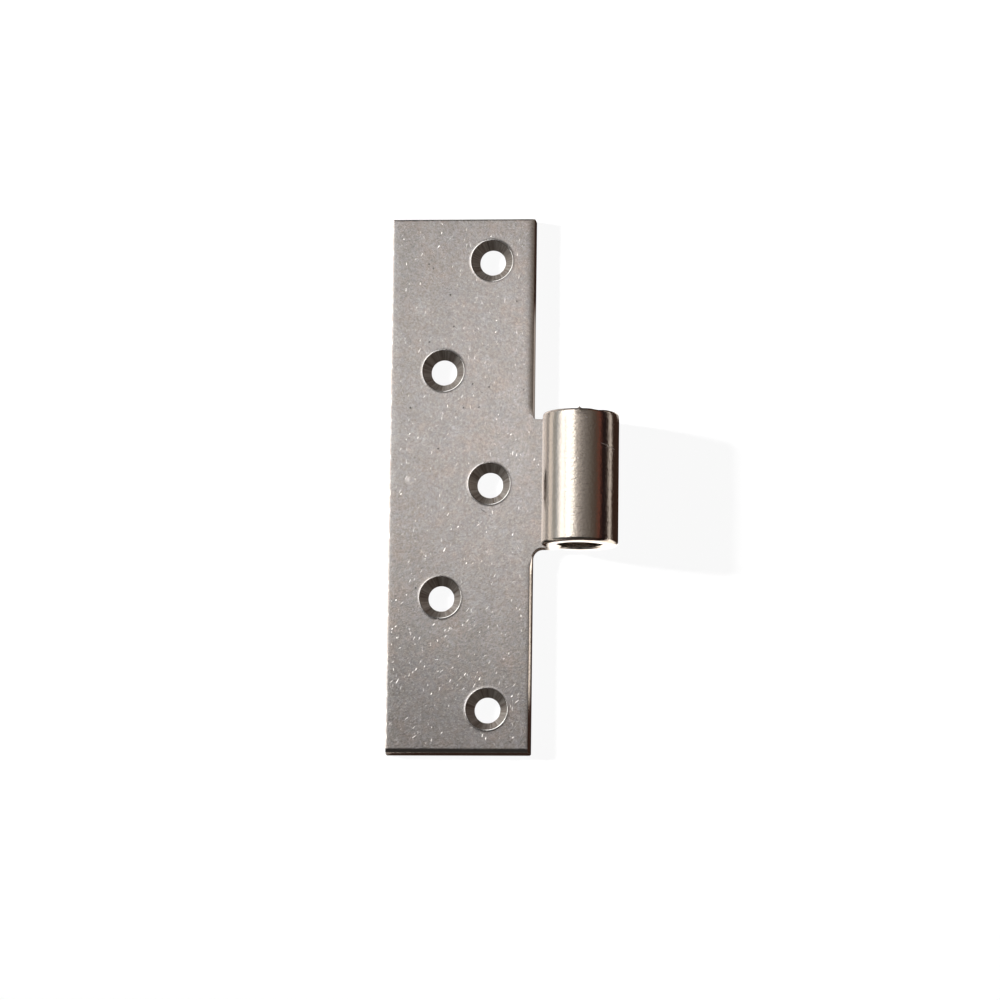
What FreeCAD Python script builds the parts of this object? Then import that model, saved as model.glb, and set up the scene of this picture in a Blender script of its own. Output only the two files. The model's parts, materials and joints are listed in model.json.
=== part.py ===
import FreeCAD, Part
import math
import os

import Sketcher

# One leaf of a lift-off hinge: flat steel with five countersunk screw holes,
# and a tab in the middle of one long side that is rolled up into a knuckle.
# The origin is on the pin's axis, halfway along the knuckle. The leaf lies on
# its back, with +Z out of its countersunk front, +Y along its height and +X
# from the flat leaf towards the knuckle. All lengths are in millimetres.

# Sizes that are set by themselves
SIZES = {
    "leaf_height": 110.5,
    "leaf_width": 29.4,
    "leaf_thickness": 3.0,
    "leaf_corner_radius": 0.4,
    # From the leaf's edge on the knuckle's side to the pin's axis
    "pin_reach": 9.9,
    # From the leaf's upper end down to the middle of the knuckle
    "knuckle_drop": 55.0,
    "bore_radius": 4.8,
    "bore_chamfer": 0.4,
    "knuckle_length": 27.1,
    "upper_rim_radius": 0.6,
    "lower_rim_radius": 0.5,
    # Between the rolled end of the tab and the leaf's front
    "seam_gap": 0.2,
    # The tab that carries the knuckle, and the corners cut beside it
    "tab_width": 26.6,
    "upper_notch_radius": 0.6,
    "lower_notch_radius": 2.0,
    # Rounded front edges, and the stretch over which the side one runs out
    "side_arris_radius": 0.9,
    "side_arris_last_radius": 0.1,
    "side_arris_fade": 2.0,
    "upper_arris_radius": 0.35,
    "lower_arris_radius": 1.0,
    # Screw holes: three in a row near the knuckle, two in a row far from it,
    # each row set in from the long side beside it and from each end of the leaf
    "screw_hole_width": 5.3,
    "countersink_width": 8.5,
    "countersink_angle": 67.0,
    "near_row_side_inset": 8.95,
    "near_row_upper_inset": 8.7,
    "near_row_lower_inset": 9.2,
    "far_row_side_inset": 10.7,
    "far_row_upper_inset": 31.6,
    "far_row_lower_inset": 32.1,
    # How far a cutting outline reaches out of what it cuts
    "cut_margin": 1.0,
}

# What the sketches and features take from the sheet, as formulas
KNUCKLE_RADIUS = "(sizes.bore_radius + sizes.leaf_thickness)"
UPPER_END = "sizes.knuckle_drop"
LOWER_END = "(sizes.leaf_height - sizes.knuckle_drop)"
HALF_KNUCKLE = "(sizes.knuckle_length / 2)"
HALF_TAB = "(sizes.tab_width / 2)"
ROLLED_ANGLE = f"270 deg + asin((sizes.bore_radius - sizes.seam_gap) / {KNUCKLE_RADIUS})"
UPPER_NOTCH_END = f"({HALF_TAB} + sizes.upper_notch_radius)"
LOWER_NOTCH_END = f"({HALF_TAB} + sizes.lower_notch_radius)"
NEAR_ROW = "(sizes.pin_reach + sizes.near_row_side_inset)"
FAR_ROW = "(sizes.pin_reach + sizes.leaf_width - sizes.far_row_side_inset)"
NEAR_ROW_TOP = f"({UPPER_END} - sizes.near_row_upper_inset)"
NEAR_ROW_FOOT = f"({LOWER_END} - sizes.near_row_lower_inset)"
FAR_ROW_TOP = f"({UPPER_END} - sizes.far_row_upper_inset)"
FAR_ROW_FOOT = f"({LOWER_END} - sizes.far_row_lower_inset)"

# The same as numbers, for where each sketch is first drawn
knuckle_radius = SIZES["bore_radius"] + SIZES["leaf_thickness"]
upper_end = SIZES["knuckle_drop"]
lower_end = upper_end - SIZES["leaf_height"]
half_knuckle = SIZES["knuckle_length"] / 2
half_tab = SIZES["tab_width"] / 2
front = -SIZES["bore_radius"]
near_side = -SIZES["pin_reach"]
far_side = near_side - SIZES["leaf_width"]

# A sketch numbers a curve's start, end and centre, and its own two axes
START, END, CENTRE = range(1, 4)
ACROSS_AXIS, UPRIGHT_AXIS = range(-1, -3, -1)

doc = FreeCAD.newDocument("hinge")


def add_sheet():
    sheet = doc.addObject("Spreadsheet::Sheet", "sizes")
    for row, (name, value) in enumerate(SIZES.items(), start=1):
        sheet.set(f"A{row}", name)
        sheet.set(f"B{row}", str(value))
        sheet.setAlias(f"B{row}", name)
    doc.recompute()


def line(start, end):
    return Part.LineSegment(FreeCAD.Vector(*start, 0), FreeCAD.Vector(*end, 0))


def circle(centre, radius):
    return Part.Circle(FreeCAD.Vector(*centre, 0), FreeCAD.Vector(0, 0, 1), radius)


def arc(centre, radius, first_degrees, last_degrees):
    """An arc that runs anticlockwise from one angle to another."""
    first, last = math.radians(first_degrees), math.radians(last_degrees)
    return Part.ArcOfCircle(circle(centre, radius), first, last)


class Drawing:
    """A sketch on one of a body's origin planes, whose curves go by name."""

    def __init__(self, body, name, role, offset=None):
        self.sketch = body.newObject("Sketcher::SketchObject", name)
        plane = next(f for f in body.Origin.OriginFeatures if f.Role == role)
        self.sketch.AttachmentSupport = [(plane, "")]
        self.sketch.MapMode = "FlatFace"
        if offset:
            self.sketch.setExpression("AttachmentOffset.Base.z", offset)
        self.numbers = {"across": ACROSS_AXIS, "upright": UPRIGHT_AXIS}

    def add(self, curves):
        for name, curve in curves.items():
            self.numbers[name] = self.sketch.addGeometry(curve, False)

    def hold(self, kind, *places):
        """A constraint with no size. A place is a curve, or a curve and a point on it."""
        numbers = []
        for place in places:
            curve, *where = place if isinstance(place, tuple) else (place,)
            numbers += [self.numbers[curve], *where]
        self.sketch.addConstraint(Sketcher.Constraint(kind, *numbers))

    def hold_each(self, kind, *curves):
        for curve in curves:
            self.hold(kind, curve)

    def outline(self, curves, backwards=(), smooth=()):
        """Draw curves in order round an outline, each joined to the next.

        An arc in backwards is followed from its end to its start. A curve in
        smooth runs into the next one without a corner.
        """
        self.add(curves)
        names = list(curves)
        for name, following in zip(names, names[1:] + names[:1]):
            leave = START if name in backwards else END
            enter = END if following in backwards else START
            kind = "Tangent" if name in smooth else "Coincident"
            self.hold(kind, (name, leave), (following, enter))

    def dimension(self, name, kind, formula, first, last=None):
        """A named dimension that follows a formula, set at first to what is drawn."""
        if last is None:
            places = [self.numbers[first]]
            drawn = self.sketch.Geometry[places[0]].Radius
        else:
            ends = [(self.numbers[curve], where) for curve, where in (first, last)]
            places = [*ends[0], *ends[1]]
            span = self.sketch.getPoint(*ends[1]) - self.sketch.getPoint(*ends[0])
            drawn = span.x if kind == "DistanceX" else span.y
        index = self.sketch.addConstraint(Sketcher.Constraint(kind, *places, drawn))
        self.sketch.renameConstraint(index, name)
        self.sketch.setExpression(f"Constraints.{name}", formula)


# The origin of a sketch, as a place to measure from
ORIGIN = ("across", START)


def finish_feature(body, name):
    """Recompute, and stop if the last feature left the body's solid as it was."""
    before = body.Shape.Volume if body.Shape.Solids else 0
    doc.recompute()
    if body.Shape.Volume == before:
        raise RuntimeError(f"{name} changed nothing")


def add_rolled_knuckle(body):
    """The strip rolled about the pin, from below the axis round to the seam.

    Its section is drawn below the axis: the bore's wall with a chamfer at each
    mouth, and an outer wall with a rounded rim at each end.
    """
    upper_rim = SIZES["upper_rim_radius"]
    lower_rim = SIZES["lower_rim_radius"]
    chamfer = SIZES["bore_chamfer"]
    outside = -knuckle_radius
    upper, lower = half_knuckle, -half_knuckle
    section = Drawing(body, "knuckle_section", "YZ_Plane")
    section.outline(
        {
            "outer_wall": line((lower + lower_rim, outside), (upper - upper_rim, outside)),
            "upper_rim": arc((upper - upper_rim, outside + upper_rim), upper_rim, 270, 360),
            "upper_face": line((upper, outside + upper_rim), (upper, front - chamfer)),
            "upper_mouth": line((upper, front - chamfer), (upper - chamfer, front)),
            "bore_wall": line((upper - chamfer, front), (lower + chamfer, front)),
            "lower_mouth": line((lower + chamfer, front), (lower, front - chamfer)),
            "lower_face": line((lower, front - chamfer), (lower, outside + lower_rim)),
            "lower_rim": arc((lower + lower_rim, outside + lower_rim), lower_rim, 180, 270),
        },
        smooth=("outer_wall", "upper_rim", "lower_face", "lower_rim"),
    )
    section.hold_each("Horizontal", "outer_wall", "bore_wall")
    section.hold_each("Vertical", "upper_face", "lower_face")
    for name, kind, formula, first, last in (
        ("outside", "DistanceY", KNUCKLE_RADIUS, ("outer_wall", START), ORIGIN),
        ("bore", "DistanceY", "sizes.bore_radius", ("bore_wall", START), ORIGIN),
        ("upper_end", "DistanceX", HALF_KNUCKLE, ORIGIN, ("upper_face", START)),
        ("lower_end", "DistanceX", HALF_KNUCKLE, ("lower_face", START), ORIGIN),
        ("upper_depth", "DistanceX", "sizes.bore_chamfer", ("upper_mouth", END), ("upper_mouth", START)),
        ("upper_width", "DistanceY", "sizes.bore_chamfer", ("upper_mouth", START), ("upper_mouth", END)),
        ("lower_depth", "DistanceX", "sizes.bore_chamfer", ("lower_mouth", END), ("lower_mouth", START)),
        ("lower_width", "DistanceY", "sizes.bore_chamfer", ("lower_mouth", END), ("lower_mouth", START)),
    ):
        section.dimension(name, kind, formula, first, last)
    section.dimension("upper_rim", "Radius", "sizes.upper_rim_radius", "upper_rim")
    section.dimension("lower_rim", "Radius", "sizes.lower_rim_radius", "lower_rim")
    roll = body.newObject("PartDesign::Revolution", "rolled_knuckle")
    roll.Profile = section.sketch
    roll.ReferenceAxis = (section.sketch, ["H_Axis"])
    roll.setExpression("Angle", ROLLED_ANGLE)
    roll.Reversed = True
    finish_feature(body, "the rolled knuckle")


def add_leaf(body):
    """The flat leaf and its tab, which ends below the pin's axis."""
    corner = SIZES["leaf_corner_radius"]
    upper_notch = SIZES["upper_notch_radius"]
    lower_notch = SIZES["lower_notch_radius"]
    upper, lower = upper_end, lower_end
    upper_turn = half_tab + upper_notch
    lower_turn = -half_tab - lower_notch
    plan = Drawing(body, "leaf_plan", "XY_Plane", f"-{KNUCKLE_RADIUS}")
    plan.outline(
        {
            "lower_end": line((far_side, lower), (near_side - corner, lower)),
            "lower_corner": arc((near_side - corner, lower + corner), corner, 270, 360),
            "lower_side": line((near_side, lower + corner), (near_side, lower_turn)),
            "lower_notch": arc((near_side + lower_notch, lower_turn), lower_notch, 90, 180),
            "tab_below": line((near_side + lower_notch, -half_tab), (0, -half_tab)),
            "tab_end": line((0, -half_tab), (0, half_tab)),
            "tab_above": line((0, half_tab), (near_side + upper_notch, half_tab)),
            "upper_notch": arc((near_side + upper_notch, upper_turn), upper_notch, 180, 270),
            "upper_side": line((near_side, upper_turn), (near_side, upper - corner)),
            "upper_corner": arc((near_side - corner, upper - corner), corner, 0, 90),
            "upper_end": line((near_side - corner, upper), (far_side, upper)),
            "far_side": line((far_side, upper), (far_side, lower)),
        },
        backwards=("lower_notch", "upper_notch"),
        smooth=(
            "lower_end",
            "lower_corner",
            "lower_side",
            "lower_notch",
            "tab_above",
            "upper_notch",
            "upper_side",
            "upper_corner",
        ),
    )
    plan.hold_each("Horizontal", "lower_end", "tab_below", "tab_above", "upper_end")
    plan.hold_each("Vertical", "lower_side", "tab_end", "upper_side", "far_side")
    plan.hold("PointOnObject", ("tab_end", START), "upright")
    for name, kind, formula, first, last in (
        ("below", "DistanceY", LOWER_END, ("lower_end", START), ORIGIN),
        ("above", "DistanceY", UPPER_END, ORIGIN, ("upper_end", START)),
        ("width", "DistanceX", "sizes.leaf_width", ("lower_end", START), ("lower_side", START)),
        ("lower_reach", "DistanceX", "sizes.pin_reach", ("lower_side", START), ORIGIN),
        ("upper_reach", "DistanceX", "sizes.pin_reach", ("upper_side", START), ORIGIN),
        ("tab_below", "DistanceY", HALF_TAB, ("tab_below", START), ORIGIN),
        ("tab_above", "DistanceY", HALF_TAB, ORIGIN, ("tab_above", START)),
    ):
        plan.dimension(name, kind, formula, first, last)
    plan.dimension("lower_corner", "Radius", "sizes.leaf_corner_radius", "lower_corner")
    plan.dimension("upper_corner", "Radius", "sizes.leaf_corner_radius", "upper_corner")
    plan.dimension("lower_notch", "Radius", "sizes.lower_notch_radius", "lower_notch")
    plan.dimension("upper_notch", "Radius", "sizes.upper_notch_radius", "upper_notch")
    plate = body.newObject("PartDesign::Pad", "leaf_plate")
    plate.Profile = plan.sketch
    plate.setExpression("Length", "sizes.leaf_thickness")
    finish_feature(body, "the flat leaf")


def draw_arris(body, name, role, edge, side, edge_formula, radius_name, offset=None):
    """What rounding a front edge cuts away, on a sketch square to that edge.

    edge is the edge's place across the sketch, left of the origin or right of
    it, edge_formula its distance from the origin, and side is 1 where the
    material lies to its left and -1 where it lies to its right.
    """
    radius, margin = SIZES[radius_name], SIZES["cut_margin"]
    radius_formula = f"sizes.{radius_name}"
    centre = (edge - side * radius, front - radius)
    outer, above = edge + side * margin, front + margin
    at_side, at_top = (START, END) if side > 0 else (END, START)
    cut = Drawing(body, name, role, offset)
    cut.outline(
        {
            "turn": arc(centre, radius, 0, 90) if side > 0 else arc(centre, radius, 90, 180),
            "rise": line((centre[0], front), (centre[0], above)),
            "cover": line((centre[0], above), (outer, above)),
            "fall": line((outer, above), (outer, centre[1])),
            "close": line((outer, centre[1]), (edge, centre[1])),
        },
        backwards=() if side > 0 else ("turn",),
    )
    cut.hold_each("Vertical", "rise", "fall")
    cut.hold_each("Horizontal", "cover", "close")
    cut.hold("Vertical", ("turn", at_top), ("turn", CENTRE))
    cut.hold("Horizontal", ("turn", at_side), ("turn", CENTRE))
    cut.dimension("radius", "Radius", radius_formula, "turn")
    cut.dimension(
        "depth", "DistanceY", f"sizes.bore_radius + {radius_formula}", ("turn", CENTRE), ORIGIN
    )
    cut.dimension("clear_above", "DistanceY", "sizes.cut_margin", ("rise", START), ("rise", END))
    inner, beyond = ("close", END), ("close", START)
    if side < 0:
        inner, beyond = beyond, inner
    cut.dimension("clear_outside", "DistanceX", "sizes.cut_margin", inner, beyond)
    place = [("turn", at_side), ORIGIN]
    if edge > 0:
        place.reverse()
    cut.dimension("edge", "DistanceX", edge_formula, *place)
    return cut.sketch


def add_end_arris(body, name, side, radius_name):
    """Round the front edge along the leaf's upper end (side 1) or lower end (-1)."""
    edge, edge_formula = (upper_end, UPPER_END) if side > 0 else (lower_end, LOWER_END)
    cut = body.newObject("PartDesign::Pocket", name)
    cut.Profile = draw_arris(
        body, f"{name}_section", "YZ_Plane", edge, side, edge_formula, radius_name
    )
    cut.Type = "ThroughAll"
    cut.SideType = "Symmetric"
    finish_feature(body, name)


def add_side_arris(body, name, sign, notch_end, leaf_end):
    """Round the front edge beside the knuckle, running out where the notch begins.

    sign is 1 above the knuckle and -1 below it. notch_end and leaf_end are the
    formulas of the notch's outer end and of the leaf's end, as distances from
    the middle of the knuckle.
    """
    stations = {
        "outer": (f"({leaf_end} + sizes.cut_margin)", "side_arris_radius"),
        "full": (f"({notch_end} + sizes.side_arris_fade)", "side_arris_radius"),
        "last": (notch_end, "side_arris_last_radius"),
    }
    sections = []
    for station, (place, radius_name) in stations.items():
        offset = f"-{place}" if sign > 0 else place
        sketch_name = f"{name}_{station}"
        sections.append(
            draw_arris(
                body, sketch_name, "XZ_Plane", near_side, 1, "sizes.pin_reach", radius_name, offset
            )
        )
    cut = body.newObject("PartDesign::SubtractiveLoft", name)
    cut.Profile = sections[0]
    cut.Sections = sections[1:]
    cut.Ruled = True
    finish_feature(body, name)


def add_screw_holes(body):
    """Five countersunk holes in a zigzag, drilled from the front."""
    near_x = near_side - SIZES["near_row_side_inset"]
    far_x = far_side + SIZES["far_row_side_inset"]
    near_top = upper_end - SIZES["near_row_upper_inset"]
    near_foot = lower_end + SIZES["near_row_lower_inset"]
    far_top = upper_end - SIZES["far_row_upper_inset"]
    far_foot = lower_end + SIZES["far_row_lower_inset"]
    holes = {
        "near_upper": (near_x, near_top, NEAR_ROW, NEAR_ROW_TOP),
        "far_upper": (far_x, far_top, FAR_ROW, FAR_ROW_TOP),
        "near_middle": (near_x, 0, NEAR_ROW, None),
        "far_lower": (far_x, far_foot, FAR_ROW, FAR_ROW_FOOT),
        "near_lower": (near_x, near_foot, NEAR_ROW, NEAR_ROW_FOOT),
    }
    plan = Drawing(body, "screw_hole_plan", "XY_Plane", "-sizes.bore_radius")
    for name, (x, y, row, height) in holes.items():
        centre = (name, CENTRE)
        plan.add({name: circle((x, y), SIZES["screw_hole_width"] / 2)})
        plan.dimension(f"{name}_radius", "Radius", "sizes.screw_hole_width / 2", name)
        plan.dimension(f"{name}_row", "DistanceX", row, centre, ORIGIN)
        if height is None:
            plan.hold("PointOnObject", centre, "across")
        else:
            ends = (ORIGIN, centre) if y > 0 else (centre, ORIGIN)
            plan.dimension(f"{name}_height", "DistanceY", height, *ends)
    doc.recompute()
    drilled = body.newObject("PartDesign::Hole", "screw_holes")
    drilled.Profile = plan.sketch
    drilled.ThreadType = "None"
    drilled.DepthType = "ThroughAll"
    drilled.HoleCutType = "Countersink"
    drilled.HoleCutCustomValues = True
    drilled.setExpression("Diameter", "sizes.screw_hole_width")
    drilled.setExpression("HoleCutDiameter", "sizes.countersink_width")
    drilled.setExpression("HoleCutCountersinkAngle", "sizes.countersink_angle * 1 deg")
    finish_feature(body, "the screw holes")


def check_document():
    """Stop unless every object recomputed and every sketch is fully held."""
    doc.recompute()
    for item in doc.Objects:
        if "Invalid" in item.State or "Error" in item.State:
            raise RuntimeError(f"{item.Label} failed: {item.State}")
        if item.TypeId == "Sketcher::SketchObject" and not item.FullyConstrained:
            raise RuntimeError(f"{item.Label} isn't fully constrained")


def export(body):
    """Write the body's one solid to parts, under its own name."""
    shape = body.Shape
    if shape.isNull() or not shape.isValid() or len(shape.Solids) != 1:
        raise RuntimeError(f"{body.Label} isn't one valid solid")
    os.makedirs("parts", exist_ok=True)
    shape.exportStep(f"parts/{body.Label}.step")
    box = shape.optimalBoundingBox()
    lengths = " x ".join(f"{length:.2f}" for length in (box.XLength, box.YLength, box.ZLength))
    print(f"{body.Label}: {lengths} mm, {shape.Volume:.0f} cubic mm")


add_sheet()
leaf = doc.addObject("PartDesign::Body", "leaf_body")
leaf.Label = "hinge_leaf"
add_rolled_knuckle(leaf)
add_leaf(leaf)
add_end_arris(leaf, "upper_arris", 1, "upper_arris_radius")
add_end_arris(leaf, "lower_arris", -1, "lower_arris_radius")
add_side_arris(leaf, "upper_side_arris", 1, UPPER_NOTCH_END, UPPER_END)
add_side_arris(leaf, "lower_side_arris", -1, LOWER_NOTCH_END, LOWER_END)
add_screw_holes(leaf)
check_document()
export(leaf)
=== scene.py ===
import json
import math
import random

import bmesh
import bpy
import numpy as np
from mathutils import Matrix, Vector, noise
from mathutils.geometry import delaunay_2d_cdt


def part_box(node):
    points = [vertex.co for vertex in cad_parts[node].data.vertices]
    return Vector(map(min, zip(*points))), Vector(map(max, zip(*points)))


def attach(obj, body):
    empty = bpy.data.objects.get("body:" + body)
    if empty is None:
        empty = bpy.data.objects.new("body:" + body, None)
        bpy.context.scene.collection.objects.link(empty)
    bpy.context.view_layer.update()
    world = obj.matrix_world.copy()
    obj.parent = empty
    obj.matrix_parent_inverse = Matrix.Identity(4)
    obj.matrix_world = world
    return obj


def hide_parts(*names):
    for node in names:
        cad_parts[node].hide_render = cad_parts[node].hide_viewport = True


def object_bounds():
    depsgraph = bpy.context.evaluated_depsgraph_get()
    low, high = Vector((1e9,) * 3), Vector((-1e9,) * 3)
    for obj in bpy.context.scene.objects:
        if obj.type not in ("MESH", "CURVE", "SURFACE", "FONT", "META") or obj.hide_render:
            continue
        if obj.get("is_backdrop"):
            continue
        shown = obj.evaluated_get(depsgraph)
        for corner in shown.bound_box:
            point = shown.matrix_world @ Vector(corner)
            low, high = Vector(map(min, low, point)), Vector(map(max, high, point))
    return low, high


# One leaf of a lift-off hinge, lying on its back on a white table. The frame's
# axes are +Y along the leaf, +X towards the knuckle and +Z out of the
# countersunk front. The leaf's mesh is worked out in millimetres.

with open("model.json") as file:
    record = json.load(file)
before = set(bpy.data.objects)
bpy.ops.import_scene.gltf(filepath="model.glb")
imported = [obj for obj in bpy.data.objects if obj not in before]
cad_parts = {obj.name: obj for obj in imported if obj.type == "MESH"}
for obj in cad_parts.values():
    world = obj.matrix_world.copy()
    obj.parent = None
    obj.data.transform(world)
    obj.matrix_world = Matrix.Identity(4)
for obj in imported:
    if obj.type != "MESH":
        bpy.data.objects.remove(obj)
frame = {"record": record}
cad_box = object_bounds()

MM = 0.001
mounts = {mount["name"]: mount for mount in frame["record"]["mounts"]}

# Sizes that the frame gives
LOW, HIGH = (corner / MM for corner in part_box("hinge_leaf"))
BACK = LOW.z
FAR_SIDE = LOW.x
UPPER_END, LOWER_END = HIGH.y, LOW.y
ROLL_RADIUS = -BACK
BORE_RADIUS = mounts["pin_bore"]["dims"]["r_mm"]
HALF_ROLL = -mounts["bearing_face"]["pos_m"][1] / MM
THICKNESS = ROLL_RADIUS - BORE_RADIUS
FRONT = BACK + THICKNESS
near_screws, far_screws = mounts["near_row_screws"], mounts["far_row_screws"]
NEAR_ROW, FAR_ROW = near_screws["pos_m"][0] / MM, far_screws["pos_m"][0] / MM
NEAR_HEIGHT = near_screws["dims"]["spacing_y_mm"] / 2
FAR_HEIGHT = far_screws["dims"]["spacing_y_mm"] / 2
HOLE_RADIUS = near_screws["dims"]["hole_r_mm"]
HOLES = (
    (NEAR_ROW, NEAR_HEIGHT),
    (FAR_ROW, FAR_HEIGHT),
    (NEAR_ROW, 0),
    (FAR_ROW, -FAR_HEIGHT),
    (NEAR_ROW, -NEAR_HEIGHT),
)

# Other sizes of the leaf, in millimetres
NEAR_SIDE = -9.9
CORNER_RADIUS = 0.4
HALF_TAB = 13.3
UPPER_NOTCH, LOWER_NOTCH = 0.6, 2.0
UPPER_ARRIS, LOWER_ARRIS = 0.35, 1.15
TAB_ROUND = 0.1
SINK_RADIUS = 4.25
SINK_ANGLE = math.radians(67)
UPPER_RIM, LOWER_RIM = 0.6, 0.75
BORE_CHAMFER = 0.4
SEAM_GAP = 0.2

# The near side's edge is drawn gently down, then broken by a bevel, and ends in
# a steep face: how wide each is above the knuckle and below it, and how steep
SIDE_DRAWS, SIDE_BEVELS, SIDE_STEEPS = (2.2, 1.45), (0.15, 0.42), (0.08, 0.06)
SIDE_DRAW_SLOPE, SIDE_BEVEL_SLOPE, SIDE_STEEP_SLOPE = 0.61, 1.28, 4.5
# What share of those widths is left at the knuckle's notches, and how far from
# these the widths are whole
SIDE_LAST_SHARE, SIDE_FADE = 0.11, 2.0
# The burr round each countersink: how far out from its mouth, and how high
SINK_LIP_PLACES, SINK_LIP_HEIGHTS = (0, 0.1, 0.2), (-0.01, 0.022, 0)
# How the shears drew the far side's edge down, and how deep they tore it
ROLL_OVER_WIDTH, ROLL_OVER_DEPTH = 0.35, 0.035
RAGGED_DEPTH = 0.07
# Past this share of the way down, the far side is broken instead of cut: how far
# it can stand back there, and how uneven the whole side is
BROKEN_FROM, BROKEN_SLOPE, SIDE_GRAIN = 0.35, 0.12, 0.012
# How far the countersinking tool shook, evenly and unevenly
CHATTER_EVEN, CHATTER_UNEVEN = 0.012, 0.02
# A burr and a dip in the knuckle's upper rim: the turn, spread and height of
# each, and the depth in the sheet where they are largest, with its spread
RIM_FLAWS = ((176.5, 1.8, 0.4), (146, 9, -0.2))
RIM_FLAW_LAYER, RIM_FLAW_SPREAD = 0.5, 0.1
# The last of the knuckle's upper end falls away a little before its rim
CROWN_LENGTH, CROWN_DEPTH, CROWN_POWER = 1.6, 0.15, 1.3
# How much further from the leaf the knuckle's sides lie than those of a true
# circle, and how uneven the knuckle is
BULGE, ROLL_WAVE = 0.17, 0.012

# Where the tab's flat part ends and the swept strip begins
JOIN = -7.0
ROLL_END = math.radians(270) + math.asin((BORE_RADIUS - SEAM_GAP) / ROLL_RADIUS)

# Spacing of the mesh, in millimetres, and its counts
LATTICE = 1.5
RAGGED_STEP = 0.55
TAB_STEP = 0.5
UPPER_ARRIS_ROWS, LOWER_ARRIS_ROWS, TAB_ROUND_ROWS = 5, 9, 3
RIM_STEPS = 9
COLUMN_FLATS = 3
WALL_ROWS = COLUMN_FLATS + RIM_STEPS
ROLL_STEP = math.radians(1.8)
STRAIGHT_STEPS = 10
SINK_SEGMENTS = 144
# Where the near side's bevel and drawn part have rows, as shares of each
BEVEL_SHARES, DRAW_SHARES = (-0.1, 0.1, 0.5, 0.9, 1.1), (0.1, 0.2, 0.35, 0.5, 0.7, 1)
ROLL_OVER_ROWS = (0.06, 0.12, 0.2, ROLL_OVER_WIDTH)
# How far the rows run on past the leaf's outline
OVERRUN = 1
# Width of the row of flat faces inside each arris, and of the ring of them round
# each countersink, so that the flat beyond shades flat
GUARD, SINK_GUARD = 0.1, 0.6
# How far the plain lattice stays from the countersinks
SINK_CLEARANCE = 1
# Edges that turn by more than this are sharp
SHARP_ANGLE = math.radians(14)
# Points of the front closer than this are one, and a point this near JOIN is on it
MERGE_DISTANCE, JOIN_TOLERANCE = 1e-4, 1e-3
# The cone's rows, and after them those of the land, as shares of each
SINK_SHARES, LAND_SHARES = (0.05, 0.2, 0.4, 0.6, 0.8, 0.95, 1), (0.5, 1)

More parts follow.
